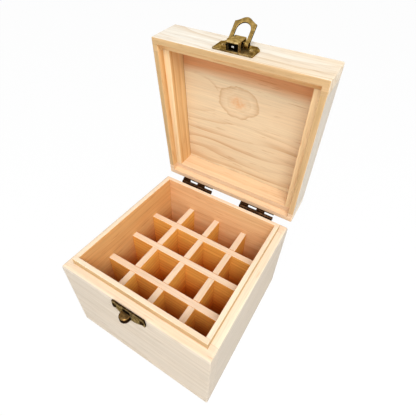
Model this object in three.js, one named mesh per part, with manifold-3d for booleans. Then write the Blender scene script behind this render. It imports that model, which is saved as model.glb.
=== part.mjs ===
// Wooden compartment box with a hinged lid, a hasp and a catch.
// Millimetres. X to the right, Y to the back, Z up. The origin is the middle of the base's underside.

import * as THREE from 'three';
import { mergeVertices } from 'three/addons/utils/BufferGeometryUtils.js';
import Module from 'manifold-3d';

// Box
const box_width = 130;
const box_depth = 130;
const base_height = 81; // underside to shoulder
const lid_height = 29; // rim to top
const shoulder_width = 6.3; // the ledge outside the lip
const lip_thickness = 3.7;
const lip_height = 5.6;
const bottom_thickness = 5;
const lid_panel_thickness = 6.6;
const corner_rounding = 1; // upright corners
const shoulder_rounding = 2.4; // outer edge of the shoulder
const lid_edge_rounding = 1; // round the lid's top
const foot_rounding = 0.8; // bottom edge of the base, rim edge of the lid
const lip_rounding = 0.7;

// Dividers
const divider_thickness = 5.6;
const divider_height = 55; // above the bottom panel
const column_count = 4;
const row_count = 4;
const divider_names = {
  rows: ['front', 'middle', 'rear'],
  columns: ['left', 'middle', 'right'],
};

// Fits
const joint_gap = 0.3; // between glued boards
const seat_gap = 0.3; // between a fitting and what carries it
const running_gap = 0.3; // round a pin, and between knuckles
const lid_seat_gap = 0.3; // rim above the shoulder when the lid is shut
const lid_side_clearance = 1.7;
const lid_top_clearance = 0.4;
const overrun = 2; // how far a cutter runs past what it cuts

// Hinges
const lid_open_angle = THREE.MathUtils.degToRad(84);
const hinge_inset = 33; // a hinge's middle from the box's side
const hinge_width = 33;
const hinge_axis_back = 3.2; // pin behind the rear face
const hinge_axis_drop = 2; // pin below the shoulder
const hinge_barrel_radius = 1.6;
const hinge_pin_radius = 0.7;
const hinge_leaf_height = 15; // from the pin to the leaf's far edge
const hinge_leaf_thickness = 1;
const hinge_leaf_corner = 2;
const hinge_screw_spacing = 20;
const hinge_screw_distance = 9.5; // from the pin
const hinge_screw_length = 4.6;
const knuckle_count = 4;

// Screws
const screw_head_radius = 1.9;
const screw_head_height = 0.9;
const screw_shank_radius = 0.8;
const hasp_screw_length = 6;

// Hasp on the lid's front
const hasp_offset = -1.6; // its middle, to the left of the box's middle
const hasp_plate_width = 29.6;
const hasp_plate_height = 15.2;
const hasp_plate_low = 3.5; // lower edge above the lid's rim
const hasp_plate_thickness = 1;
const hasp_corner_cut = 3.4;
const hasp_screw_spacing = 20.6;
const hasp_screw_rise = 8; // above the plate's lower edge
const knuckle_width = 8.6;
const knuckle_length = 12.1;
const knuckle_depth = 5.7; // out from the plate
const knuckle_wall = 1.1;
const knuckle_end_wall = 2.3; // the upper end, which holds the pin's eye
const knuckle_low = 0.4; // above the plate's lower edge
const hasp_pin_radius = 0.8;
const hasp_pin_rise = 8.8; // above the plate's lower edge
const hasp_pin_out = 2.1; // out from the plate
const hasp_eye_radius = 1.8;
const loop_width = 16;
const loop_window_width = 10.3;
const loop_thickness = 1.2;
const loop_shoulder = 14; // from the pin to the shoulders
const loop_length = 17.6; // from the pin to the point
const loop_window_length = 14; // from the pin to the top of the window
const loop_lean_angle = THREE.MathUtils.degToRad(48); // from square to the lid's front

// Catch on the base's front
const catch_width = 29.4;
const catch_height = 12.4;
const catch_offset = 0.6; // its middle, to the right of the box's middle
const catch_rise = 0.9; // top edge above the shoulder
const catch_thickness = 1;
const catch_screw_spacing = 24;
const catch_screw_drop = 4.5; // below the catch's top edge
const catch_slot_width = 6;
const catch_slot_height = 4.9;
const catch_slot_drop = 1.4; // below the catch's top edge
const catch_slot_offset = -1.4; // its middle, to the left of the catch's middle
const tongue_width = 8.4;
const tongue_offset = -2.3; // its middle, to the left of the catch's middle, under the loop
const tongue_reach = 5.2; // out from the catch's plate
const tongue_drop = 4.2; // from its top to the edge of its turned-down rim
const tongue_thickness = 1;
const tongue_rounding = 1.2;

// Outlines, as shares of half the width and of the height
const catch_outline_shares = [
  [0.96, 0], [1, 0.35], [0.99, 0.6], [0.95, 0.74], [0.88, 0.69], [0.8, 0.66],
  [0.7, 0.75], [0.56, 0.86], [0.38, 0.96], [0.2, 1],
];
const loop_ogee_shares = [[0.9, 0.06], [0.77, 0.19], [0.54, 0.49], [0.4, 0.7], [0.26, 0.87], [0.12, 0.97]];

// Fineness of round shapes
const arc_steps = 3;
const round_steps = 24;
const small_round_steps = 16;

// Derived places
const wall_thickness = shoulder_width + lip_thickness;
const inner_width = box_width - 2 * wall_thickness;
const inner_depth = box_depth - 2 * wall_thickness;
const column_pitch = (inner_width + divider_thickness) / column_count;
const row_pitch = (inner_depth + divider_thickness) / row_count;
const divider_top = bottom_thickness + divider_height;
const front_face = -box_depth / 2;
const back_face = box_depth / 2;
const hinge_axis_y = back_face + hinge_axis_back;
const hinge_axis_z = base_height - hinge_axis_drop;
const lid_rim_z = base_height + lid_seat_gap;
const rabbet_width = box_width - 2 * (shoulder_width - lid_side_clearance);
const rabbet_depth = box_depth - 2 * (shoulder_width - lid_side_clearance);
const rabbet_height = lip_height + lid_top_clearance;
const shank_hole_radius = screw_shank_radius + running_gap;

// Materials
const pale_pine = new THREE.MeshStandardMaterial({ color: 0xe8cfa6, roughness: 0.75, metalness: 0 });
const warm_pine = new THREE.MeshStandardMaterial({ color: 0xd9a268, roughness: 0.75, metalness: 0 });
const bronze = new THREE.MeshStandardMaterial({ color: 0x8a6f42, roughness: 0.4, metalness: 0.9 });
const dark_bronze = new THREE.MeshStandardMaterial({ color: 0x2c1c12, roughness: 0.45, metalness: 0.8 });

// Solids from geometries, and back
const wasm = await Module();
wasm.setup();

function solid(geometry) {
  const bare = geometry.clone();
  bare.deleteAttribute('normal');
  bare.deleteAttribute('uv');
  const merged = mergeVertices(bare);
  return new wasm.Manifold(new wasm.Mesh({
    numProp: 3,
    vertProperties: new Float32Array(merged.attributes.position.array),
    triVerts: new Uint32Array(merged.index.array),
  }));
}

function mesh(name, body, material) {
  const shape = body.getMesh();
  const geometry = new THREE.BufferGeometry();
  geometry.setAttribute('position', new THREE.BufferAttribute(shape.vertProperties, 3));
  geometry.setIndex(new THREE.BufferAttribute(shape.triVerts, 1));
  geometry.computeVertexNormals();
  const piece = new THREE.Mesh(geometry, material);
  piece.name = name;
  return piece;
}

function block(x0, x1, y0, y1, z0, z1) {
  const geometry = new THREE.BoxGeometry(x1 - x0, y1 - y0, z1 - z0);
  geometry.translate((x0 + x1) / 2, (y0 + y1) / 2, (z0 + z1) / 2);
  return solid(geometry);
}

function rod_along_x(radius, length, x, y, z, steps) {
  const geometry = new THREE.CylinderGeometry(radius, radius, length, steps);
  geometry.rotateZ(Math.PI / 2);
  geometry.translate(x, y, z);
  return solid(geometry);
}

function rod_along_y(radius, length, x, y, z, steps) {
  const geometry = new THREE.CylinderGeometry(radius, radius, length, steps);
  geometry.translate(x, y, z);
  return solid(geometry);
}

function outline(points) {
  return new THREE.Shape(points.map(([x, y]) => new THREE.Vector2(x, y)));
}

function rounded_rectangle(width, height, radius) {
  const x = width / 2;
  const y = height / 2;
  const shape = new THREE.Shape();
  shape.moveTo(radius - x, -y);
  shape.lineTo(x - radius, -y);
  shape.absarc(x - radius, radius - y, radius, -Math.PI / 2, 0);
  shape.lineTo(x, y - radius);
  shape.absarc(x - radius, y - radius, radius, 0, Math.PI / 2);
  shape.lineTo(radius - x, y);
  shape.absarc(radius - x, y - radius, radius, Math.PI / 2, Math.PI);
  shape.lineTo(-x, radius - y);
  shape.absarc(radius - x, radius - y, radius, Math.PI, Math.PI * 1.5);
  return shape;
}

// A block with round upright corners whose top and bottom edges are rounded alike
function rounded_block(width, depth, z0, z1, corner, rounding) {
  const geometry = new THREE.ExtrudeGeometry(rounded_rectangle(width, depth, corner), {
    depth: z1 - z0 - 2 * rounding,
    curveSegments: arc_steps,
    bevelEnabled: true,
    bevelThickness: rounding,
    bevelSize: rounding,
    bevelOffset: -rounding,
    bevelSegments: arc_steps,
  });
  geometry.translate(0, 0, z0 + rounding);
  return solid(geometry);
}

// A flat plate cut to an outline drawn in X and Z, lying on the plane y and growing towards the front
function front_plate(shape, thickness, y) {
  const geometry = new THREE.ExtrudeGeometry(shape, {
    depth: thickness,
    curveSegments: small_round_steps,
    bevelEnabled: false,
  });
  geometry.rotateX(Math.PI / 2);
  geometry.translate(0, y, 0);
  return solid(geometry);
}

// A bar along Y with its long edges rounded, the low ones and the high ones unlike
function edged_bar(width, length, z0, z1, low_rounding, high_rounding) {
  const x = width / 2;
  const shape = new THREE.Shape();
  shape.moveTo(low_rounding - x, z0);
  shape.lineTo(x - low_rounding, z0);
  shape.absarc(x - low_rounding, z0 + low_rounding, low_rounding, -Math.PI / 2, 0);
  shape.lineTo(x, z1 - high_rounding);
  shape.absarc(x - high_rounding, z1 - high_rounding, high_rounding, 0, Math.PI / 2);
  shape.lineTo(high_rounding - x, z1);
  shape.absarc(high_rounding - x, z1 - high_rounding, high_rounding, Math.PI / 2, Math.PI);
  shape.lineTo(-x, z0 + low_rounding);
  shape.absarc(low_rounding - x, z0 + low_rounding, low_rounding, Math.PI, Math.PI * 1.5);
  const geometry = new THREE.ExtrudeGeometry(shape, {
    depth: length,
    curveSegments: 2 * arc_steps,
    bevelEnabled: false,
  });
  geometry.rotateX(Math.PI / 2);
  geometry.translate(0, length / 2, 0);
  return geometry;
}

// The outer form of the base or the lid: rounded from the side, from the front and from above
function outer_form(z0, z1, low_rounding, high_rounding) {
  const side = edged_bar(box_width, box_depth + 2 * overrun, z0, z1, low_rounding, high_rounding);
  const front = edged_bar(box_depth, box_width + 2 * overrun, z0, z1, low_rounding, high_rounding);
  front.rotateZ(Math.PI / 2);
  const plan = new THREE.ExtrudeGeometry(rounded_rectangle(box_width, box_depth, corner_rounding), {
    depth: z1 - z0 + 2 * overrun,
    curveSegments: arc_steps,
    bevelEnabled: false,
  });
  plan.translate(0, 0, z0 - overrun);
  return solid(side).intersect(solid(front)).intersect(solid(plan));
}

// A round-headed screw: head outside at the plane y, shank into the wood.
// toward is -1 on the front and 1 on the back
function screw(name, x, y, z, length, toward, material) {
  const points = [new THREE.Vector2(0, -length)];
  points.push(new THREE.Vector2(screw_shank_radius, -length + screw_shank_radius));
  points.push(new THREE.Vector2(screw_shank_radius, 0));
  points.push(new THREE.Vector2(screw_head_radius, 0));
  for (let step = 1; step < arc_steps + 1; step += 1) {
    const angle = (step / (arc_steps + 1)) * (Math.PI / 2);
    const across = screw_head_radius * Math.cos(angle);
    points.push(new THREE.Vector2(across, screw_head_height * Math.sin(angle)));
  }
  points.push(new THREE.Vector2(0, screw_head_height));
  const geometry = new THREE.LatheGeometry(points, small_round_steps);
  const piece = mesh(name, solid(geometry), material);
  piece.rotation.x = toward < 0 ? Math.PI : 0;
  piece.position.set(x, y, z);
  return piece;
}

// Splits a ring of wall into a front, a back, a left and a right board
function boards(ring, z0, z1) {
  const half_width = box_width / 2 + overrun;
  const half_depth = box_depth / 2 + overrun;
  const low = z0 - overrun;
  const high = z1 + overrun;
  const inner_end = inner_depth / 2;
  const side_end = inner_end - joint_gap;
  return {
    front: ring.intersect(block(-half_width, half_width, -half_depth, -inner_end, low, high)),
    back: ring.intersect(block(-half_width, half_width, inner_end, half_depth, low, high)),
    left: ring.intersect(block(-half_width, 0, -side_end, side_end, low, high)),
    right: ring.intersect(block(0, half_width, -side_end, side_end, low, high)),
  };
}

function screw_hole(x, y, z, length) {
  return rod_along_y(shank_hole_radius, 2 * length, x, y, z, small_round_steps);
}

// Places that the screws and their holes share
const hinge_centres = [hinge_inset - box_width / 2, box_width / 2 - hinge_inset];
const hinge_screw_sides = [-hinge_screw_spacing / 2, hinge_screw_spacing / 2];
const base_hinge_screw_z = hinge_axis_z - hinge_screw_distance;
const lid_hinge_screw_z = hinge_axis_z + hinge_screw_distance - lid_rim_z;
const hasp_screw_z = hasp_plate_low + hasp_screw_rise;
const hasp_screw_xs = [hasp_offset - hasp_screw_spacing / 2, hasp_offset + hasp_screw_spacing / 2];
const catch_screw_z = base_height + catch_rise - catch_screw_drop;
const catch_screw_xs = [catch_offset - catch_screw_spacing / 2, catch_offset + catch_screw_spacing / 2];

// Base walls with the locating lip milled on their upper edge
function make_base_walls() {
  const lip_width = box_width - 2 * shoulder_width;
  const lip_depth = box_depth - 2 * shoulder_width;
  const lip_top = base_height + lip_height;
  const lip_corner = 2 * lip_rounding;
  const lip = rounded_block(lip_width, lip_depth, base_height / 2, lip_top, lip_corner, lip_rounding);
  const cavity = block(
    -inner_width / 2, inner_width / 2, -inner_depth / 2, inner_depth / 2, -overrun, lip_top + overrun,
  );
  const ring = outer_form(0, base_height, foot_rounding, shoulder_rounding).add(lip).subtract(cavity);
  const walls = boards(ring, 0, lip_top);
  for (const x of catch_screw_xs) {
    const hole = screw_hole(x, front_face, catch_screw_z, hasp_screw_length + running_gap);
    walls.front = walls.front.subtract(hole);
  }
  for (const centre of hinge_centres) {
    for (const side of hinge_screw_sides) {
      const length = hinge_screw_length + running_gap;
      const hole = screw_hole(centre + side, back_face, base_hinge_screw_z, length);
      walls.back = walls.back.subtract(hole);
    }
  }
  return Object.entries(walls).map(([side, body]) => mesh(`base_${side}_wall`, body, pale_pine));
}

function make_base_bottom() {
  const x = inner_width / 2 - joint_gap;
  const y = inner_depth / 2 - joint_gap;
  return mesh('base_bottom', block(-x, x, -y, y, 0, bottom_thickness), warm_pine);
}

// Half-lapped dividers: the rows are notched from below, the columns from above
function make_dividers() {
  const lap = bottom_thickness + divider_height / 2;
  const half = divider_thickness / 2;
  const notch = half + joint_gap;
  const pieces = [];
  const column_xs = divider_names.columns.map(
    (name, index) => (index + 1 - column_count / 2) * column_pitch,
  );
  const row_ys = divider_names.rows.map(
    (name, index) => (index + 1 - row_count / 2) * row_pitch,
  );
  const x_end = inner_width / 2 - joint_gap;
  const y_end = inner_depth / 2 - joint_gap;
  row_ys.forEach((y, index) => {
    let body = block(-x_end, x_end, y - half, y + half, bottom_thickness, divider_top);
    for (const x of column_xs) {
      const low = bottom_thickness - overrun;
      const high = lap + joint_gap / 2;
      body = body.subtract(block(x - notch, x + notch, y - notch, y + notch, low, high));
    }
    pieces.push(mesh(`row_divider_${divider_names.rows[index]}`, body, warm_pine));
  });
  column_xs.forEach((x, index) => {
    let body = block(x - half, x + half, -y_end, y_end, bottom_thickness, divider_top);
    for (const y of row_ys) {
      const low = lap - joint_gap / 2;
      const high = divider_top + overrun;
      body = body.subtract(block(x - notch, x + notch, y - notch, y + notch, low, high));
    }
    pieces.push(mesh(`column_divider_${divider_names.columns[index]}`, body, warm_pine));
  });
  return pieces;
}

// Lid walls, drawn shut with the rim at z = 0, rabbeted inside to drop over the lip
function make_lid_walls() {
  const cavity = block(
    -inner_width / 2, inner_width / 2, -inner_depth / 2, inner_depth / 2, -overrun, lid_height + overrun,
  );
  const rabbet = block(
    -rabbet_width / 2, rabbet_width / 2, -rabbet_depth / 2, rabbet_depth / 2, -overrun, rabbet_height,
  );
  const form = outer_form(0, lid_height, foot_rounding, lid_edge_rounding);
  const ring = form.subtract(cavity).subtract(rabbet);
  const walls = boards(ring, 0, lid_height);
  for (const x of hasp_screw_xs) {
    const hole = screw_hole(x, front_face, hasp_screw_z, hasp_screw_length + running_gap);
    walls.front = walls.front.subtract(hole);
  }
  for (const centre of hinge_centres) {
    for (const side of hinge_screw_sides) {
      const length = hinge_screw_length + running_gap;
      const hole = screw_hole(centre + side, back_face, lid_hinge_screw_z, length);
      walls.back = walls.back.subtract(hole);
    }
  }
  return Object.entries(walls).map(([side, body]) => mesh(`lid_${side}_wall`, body, pale_pine));
}

function make_lid_panel() {
  const x = inner_width / 2 - joint_gap;
  const y = inner_depth / 2 - joint_gap;
  const low = lid_height - lid_panel_thickness;
  return mesh('lid_top_panel', block(-x, x, -y, y, low, lid_height), pale_pine);
}

// One leaf, drawn with the pin along X through the origin and the wall's face at y = -hinge_axis_back.
// up is 1 for the lid's leaf, which takes the odd knuckles, and -1 for the base's
function hinge_leaf(name, up) {
  const inner = seat_gap - hinge_axis_back;
  const outer = inner + hinge_leaf_thickness;
  const web = hinge_barrel_radius - hinge_leaf_thickness;
  const plate_start = hinge_barrel_radius + running_gap;
  const pitch = hinge_width / knuckle_count;
  const plate_height = hinge_leaf_height - plate_start;
  const shape = rounded_rectangle(hinge_width, plate_height, hinge_leaf_corner);
  let leaf = front_plate(shape, hinge_leaf_thickness, outer);
  const middle = up * (plate_start + plate_height / 2);
  leaf = leaf.translate(0, 0, middle);
  for (let index = 0; index < knuckle_count; index += 1) {
    const own = index % 2 === (up > 0 ? 0 : 1);
    const before = index > 0 ? running_gap / 2 : 0;
    const after = index < knuckle_count - 1 ? running_gap / 2 : 0;
    const x0 = -hinge_width / 2 + index * pitch + before;
    const x1 = -hinge_width / 2 + (index + 1) * pitch - after;
    if (own) {
      const plate_end = up * (plate_start + hinge_leaf_corner);
      const ends = [up * web, up * hinge_barrel_radius];
      const rises = [up * web, plate_end];
      leaf = leaf.add(rod_along_x(hinge_barrel_radius, x1 - x0, (x0 + x1) / 2, 0, 0, round_steps));
      leaf = leaf.add(block(x0, x1, inner, 0, Math.min(...ends), Math.max(...ends)));
      leaf = leaf.add(block(x0, x1, inner, outer, Math.min(...rises), Math.max(...rises)));
    }
  }
  leaf = leaf.subtract(rod_along_x(
    hinge_pin_radius + running_gap, hinge_width + overrun, 0, 0, 0, small_round_steps,
  ));
  const hole_length = 2 * (hinge_leaf_thickness + overrun);
  for (const side of hinge_screw_sides) {
    const z = up * hinge_screw_distance;
    leaf = leaf.subtract(rod_along_y(shank_hole_radius, hole_length, side, inner, z, small_round_steps));
  }
  return mesh(name, leaf, dark_bronze);
}

function hinge_pin(name) {
  const rod = rod_along_x(hinge_pin_radius, hinge_width, 0, 0, 0, small_round_steps);
  return mesh(name, rod, dark_bronze);
}

// Hasp plate with its folded knuckle, drawn with its lower edge at z = 0 and its back at y = 0
function make_hasp_plate() {
  const x = hasp_plate_width / 2;
  const shape = outline([
    [-x, 0], [x, 0], [x, hasp_plate_height - hasp_corner_cut],
    [x - hasp_corner_cut, hasp_plate_height], [hasp_corner_cut - x, hasp_plate_height],
    [-x, hasp_plate_height - hasp_corner_cut],
  ]);
  const half = knuckle_width / 2;
  const knuckle_high = knuckle_low + knuckle_length;
  const out = -hasp_plate_thickness - knuckle_depth;
  const pin_y = -hasp_plate_thickness - hasp_pin_out;
  let plate = front_plate(shape, hasp_plate_thickness, 0);
  const shell = block(-half, half, out, -hasp_plate_thickness / 2, knuckle_low, knuckle_high);
  const hollow = block(
    -half - overrun, half + overrun, out + knuckle_wall, -hasp_plate_thickness,
    knuckle_low + knuckle_wall, knuckle_high - knuckle_end_wall,
  );
  plate = plate.add(shell).subtract(hollow);
  plate = plate.add(rod_along_x(hasp_eye_radius, knuckle_width, 0, pin_y, hasp_pin_rise, round_steps));
  plate = plate.subtract(rod_along_x(
    hasp_pin_radius + running_gap, knuckle_width + overrun, 0, pin_y, hasp_pin_rise, small_round_steps,
  ));
  for (const side of [-hasp_screw_spacing / 2, hasp_screw_spacing / 2]) {
    plate = plate.subtract(rod_along_y(
      shank_hole_radius, 2 * (hasp_plate_thickness + overrun), side, 0, hasp_screw_rise, small_round_steps,
    ));
  }
  return mesh('hasp_plate', plate, bronze);
}

// Swinging loop, drawn standing up from its pin, which lies along X through the origin
function make_hasp_loop() {
  const half = loop_width / 2;
  const window = loop_window_width / 2;
  const spring = loop_window_length - window;
  const rise = loop_length - loop_shoulder;
  const shape = new THREE.Shape();
  shape.moveTo(window, 0);
  shape.lineTo(half, 0);
  shape.lineTo(half, loop_shoulder);
  for (const [across, up] of loop_ogee_shares) {
    shape.lineTo(across * half, loop_shoulder + up * rise);
  }
  shape.lineTo(0, loop_length);
  for (const [across, up] of [...loop_ogee_shares].reverse()) {
    shape.lineTo(-across * half, loop_shoulder + up * rise);
  }
  shape.lineTo(-half, loop_shoulder);
  shape.lineTo(-half, 0);
  shape.lineTo(-window, 0);
  shape.lineTo(-window, spring);
  shape.absarc(0, spring, window, Math.PI, 0, true);
  let loop = front_plate(shape, loop_thickness, loop_thickness / 2);
  const eye = half - window;
  for (const side of [-1, 1]) {
    const x = side * (window + eye / 2);
    loop = loop.add(rod_along_x(hasp_eye_radius, eye, x, 0, 0, round_steps));
  }
  loop = loop.subtract(rod_along_x(
    hasp_pin_radius + running_gap, loop_width + overrun, 0, 0, 0, small_round_steps,
  ));
  return mesh('hasp_loop', loop, bronze);
}

// A round-ended cap that juts out from y = 0 to the front, its top at z = 0, its outer edge rounded
function tongue_cap(width, reach, drop) {
  const radius = width / 2;
  const centre = reach - radius;
  const inner = radius - tongue_rounding;
  const root = catch_thickness / 2;
  const shape = new THREE.Shape();
  shape.moveTo(inner, centre);
  shape.absarc(0, centre, inner, 0, Math.PI);
  shape.lineTo(-inner, -root);
  shape.lineTo(inner, -root);
  const geometry = new THREE.ExtrudeGeometry(shape, {
    depth: drop,
    curveSegments: small_round_steps,
    bevelEnabled: true,
    bevelThickness: tongue_rounding,
    bevelSize: tongue_rounding,
    bevelSegments: arc_steps,
  });
  geometry.rotateX(Math.PI);
  geometry.translate(0, 0, -tongue_rounding);
  const form = solid(geometry);
  const wide = width + overrun;
  return form.intersect(block(-wide, wide, -reach - overrun, root, -drop, overrun));
}

// Catch plate with a slot and a tongue that curls out and down,
// drawn with its top edge at z = 0 and its back at y = 0
function make_catch_plate() {
  const half = catch_width / 2;
  const right = catch_outline_shares.map(([x, z]) => [x * half, -z * catch_height]);
  const left = [...right].reverse().map(([x, z]) => [-x, z]);
  let plate = front_plate(outline([...right, ...left]), catch_thickness, 0);
  const slot_low = -catch_slot_drop - catch_slot_height;
  plate = plate.subtract(block(
    catch_slot_offset - catch_slot_width / 2, catch_slot_offset + catch_slot_width / 2,
    -catch_thickness - overrun, overrun,
    slot_low, -catch_slot_drop,
  ));
  const cap = tongue_cap(tongue_width, tongue_reach, tongue_drop);
  const hollow_drop = tongue_drop - tongue_thickness;
  const hollow = tongue_cap(
    tongue_width - 2 * tongue_thickness, tongue_reach - tongue_thickness, hollow_drop + overrun,
  ).translate(0, 0, -tongue_thickness);
  const tongue = cap.subtract(hollow).translate(tongue_offset, -catch_thickness, slot_low);
  plate = plate.add(tongue);
  for (const x of catch_screw_xs) {
    plate = plate.subtract(rod_along_y(
      shank_hole_radius, 2 * (catch_thickness + overrun), x - catch_offset, 0, -catch_screw_drop,
      small_round_steps,
    ));
  }
  return mesh('catch_plate', plate, bronze);
}

// Base
const box = new THREE.Group();
box.add(...make_base_walls());
box.add(make_base_bottom());
box.add(...make_dividers());

const catch_plate = make_catch_plate();
catch_plate.position.set(catch_offset, front_face - seat_gap, base_height + catch_rise);
box.add(catch_plate);
const catch_head_y = front_face - seat_gap - catch_thickness - seat_gap;
['left', 'right'].forEach((hand, index) => {
  const x = catch_screw_xs[index];
  const name = `catch_screw_${hand}`;
  box.add(screw(name, x, catch_head_y, catch_screw_z, hasp_screw_length, -1, bronze));
});

// Lid, turned open about the hinge pins. Its own frame is the shut lid's, with the rim at z = 0
const lid_swing = new THREE.Group();
lid_swing.position.set(0, hinge_axis_y, hinge_axis_z);
lid_swing.rotation.x = -lid_open_angle;
box.add(lid_swing);
const lid = new THREE.Group();
lid.position.set(0, -hinge_axis_y, lid_rim_z - hinge_axis_z);
lid_swing.add(lid);
lid.add(...make_lid_walls());
lid.add(make_lid_panel());

// Hinges
const leaf_head_y = back_face + seat_gap + hinge_leaf_thickness + seat_gap;
['left', 'right'].forEach((hand, index) => {
  const centre = hinge_centres[index];
  const base_leaf = hinge_leaf(`${hand}_hinge_base_leaf`, -1);
  base_leaf.position.set(centre, hinge_axis_y, hinge_axis_z);
  const pin = hinge_pin(`${hand}_hinge_pin`);
  pin.position.set(centre, hinge_axis_y, hinge_axis_z);
  box.add(base_leaf, pin);
  const lid_leaf = hinge_leaf(`${hand}_hinge_lid_leaf`, 1);
  lid_leaf.position.x = centre;
  lid_swing.add(lid_leaf);
  hinge_screw_sides.forEach((side, place) => {
    const x = centre + side;
    const low = `${hand}_hinge_base_screw_${place + 1}`;
    const high = `${hand}_hinge_lid_screw_${place + 1}`;
    box.add(screw(low, x, leaf_head_y, base_hinge_screw_z, hinge_screw_length, 1, dark_bronze));
    lid.add(screw(high, x, leaf_head_y, lid_hinge_screw_z, hinge_screw_length, 1, dark_bronze));
  });
});

// Hasp
const hasp_plate = make_hasp_plate();
hasp_plate.position.set(hasp_offset, front_face - seat_gap, hasp_plate_low);
lid.add(hasp_plate);
const hasp_head_y = front_face - seat_gap - hasp_plate_thickness - seat_gap;
['left', 'right'].forEach((hand, index) => {
  const x = hasp_screw_xs[index];
  const name = `hasp_screw_${hand}`;
  lid.add(screw(name, x, hasp_head_y, hasp_screw_z, hasp_screw_length, -1, bronze));
});

const hasp_swing = new THREE.Group();
hasp_swing.position.set(
  hasp_offset,
  front_face - seat_gap - hasp_plate_thickness - hasp_pin_out,
  hasp_plate_low + hasp_pin_rise,
);
lid.add(hasp_swing);
const hasp_pin_body = rod_along_x(hasp_pin_radius, loop_width, 0, 0, 0, small_round_steps);
hasp_swing.add(mesh('hasp_pin', hasp_pin_body, bronze));
const hasp_loop = make_hasp_loop();
hasp_loop.rotation.x = Math.PI / 2 - loop_lean_angle;
hasp_swing.add(hasp_loop);

export default box;
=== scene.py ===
# %% [markdown]
# # A pine box for small bottles
#
# The object is a square box of unfinished pine. Its base is parted into sixteen
# compartments by strips that lap into each other, and its lid stands open on two
# dark butt hinges. A swinging hasp sits on the lid's front and a catch on the base's.
#
# The solids from the CAD model are loaded first as a fixed frame. They say where every
# piece is and which body it moves with. The lesson then builds a finer piece over each
# of them: rounded boards with hairline joints, slotted screws, hinges with knuckles.

# %% The fixed frame
import math

import bmesh
import bpy
from mathutils import Matrix, Vector


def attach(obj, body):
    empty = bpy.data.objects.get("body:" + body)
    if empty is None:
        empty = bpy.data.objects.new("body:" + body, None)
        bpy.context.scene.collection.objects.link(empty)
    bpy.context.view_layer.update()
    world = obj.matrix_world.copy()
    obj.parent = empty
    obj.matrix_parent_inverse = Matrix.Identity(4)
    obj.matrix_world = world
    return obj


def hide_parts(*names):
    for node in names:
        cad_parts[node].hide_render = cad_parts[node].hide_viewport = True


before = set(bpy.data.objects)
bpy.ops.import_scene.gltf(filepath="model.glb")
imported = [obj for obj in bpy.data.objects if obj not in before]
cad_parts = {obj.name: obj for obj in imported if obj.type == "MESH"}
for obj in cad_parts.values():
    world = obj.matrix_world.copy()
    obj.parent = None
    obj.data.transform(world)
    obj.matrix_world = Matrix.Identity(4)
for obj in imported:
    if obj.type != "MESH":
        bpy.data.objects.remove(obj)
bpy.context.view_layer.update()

mm = 0.001

# %% [markdown]
# ## Camera
#
# A photograph of a box holds everything that is needed to place the camera: its upright
# edges meet far below, and its level edges meet far to the sides. The numbers here come
# from fitting the box's corners. The lens is a normal one, close to the box, so the near
# corner looms large. The shift says that the picture is a crop of a larger frame.

# %% Camera
image_width = 416
focal_length_px = 306.7629
lens_centre_px = (215.5402, 197.5886)
sensor_width = 36
camera_place = Vector((0.09313, -0.12679, 0.27649))
azimuth, elevation, roll = (math.radians(a) for a in (27.9446, 42.364, 3.9213))

level_right = Vector((math.cos(azimuth), math.sin(azimuth), 0))
backwards = Vector((
    math.sin(azimuth) * math.cos(elevation),
    -math.cos(azimuth) * math.cos(elevation),
    math.sin(elevation),
))
upwards = backwards.cross(level_right)
camera_right = math.cos(roll) * level_right + math.sin(roll) * upwards
camera_up = math.cos(roll) * upwards - math.sin(roll) * level_right
camera_turn = Matrix((camera_right, camera_up, backwards)).transposed().to_4x4()

camera = bpy.data.objects.new("camera", bpy.data.cameras.new("camera"))
bpy.context.scene.collection.objects.link(camera)
camera.matrix_world = Matrix.Translation(camera_place) @ camera_turn
camera.data.sensor_width = sensor_width
camera.data.lens = sensor_width * focal_length_px / image_width
camera.data.shift_x = 0.5 - lens_centre_px[0] / image_width
camera.data.shift_y = lens_centre_px[1] / image_width - 0.5
camera.data.clip_start = 0.01
bpy.context.scene.camera = camera
print("lens", round(camera.data.lens, 2), "mm; camera at", [round(v, 3) for v in camera_place])

# %% [markdown]
# ## Light
#
# The photograph is lit like goods in a shop: soft light from all round, more of it from
# above and from the right, and almost no shadow. A pale sky gives the even part and three
# broad lamps give the rest. Rays that come straight from the camera, or by way of polished
# metal, see the sky as plain white instead, so the background is white without more light.

# %% Sky
def feed(tree, socket, value):
    """Gives a socket a value or links it to an output. A node stands for its first one."""
    if isinstance(value, bpy.types.Node):
        value = value.outputs[0]
    if isinstance(value, bpy.types.NodeSocket):
        tree.links.new(value, socket)
    else:
        socket.default_value = value


def put(tree, kind, inputs=None, **settings):
    """Adds a node of a kind, which Blender spells with ShaderNode before it."""
    node = tree.nodes.new("ShaderNode" + kind)
    for name, value in settings.items():
        setattr(node, name, value)
    for name, value in (inputs or {}).items():
        feed(tree, node.inputs[name], value)
    return node


def seen_directly(tree):
    """1 for rays from the camera, a mirror or glass, 0 for rays that carry light."""
    path = put(tree, "LightPath")
    most = path.outputs["Is Camera Ray"]
    for other in ("Is Glossy Ray", "Is Transmission Ray"):
        most = put(tree, "Math", {0: most, 1: path.outputs[other]}, operation="MAXIMUM")
    return most


sky_strength = 0.62
sky_colour = (0.95, 0.975, 1.0, 1)
world = bpy.data.worlds.new("studio")
bpy.context.scene.world = world
world.use_nodes = True
tree = world.node_tree
tree.nodes.clear()
sky = put(tree, "Background", {"Color": sky_colour, "Strength": sky_strength})
white = put(tree, "Background", {"Color": (1, 1, 1, 1), "Strength": 1})
either = put(tree, "MixShader",
             {0: seen_directly(tree), 1: sky, 2: white})
put(tree, "OutputWorld", {"Surface": either})
bpy.context.scene.view_settings.view_transform = "Standard"
print("sky strength", sky_strength)

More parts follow.
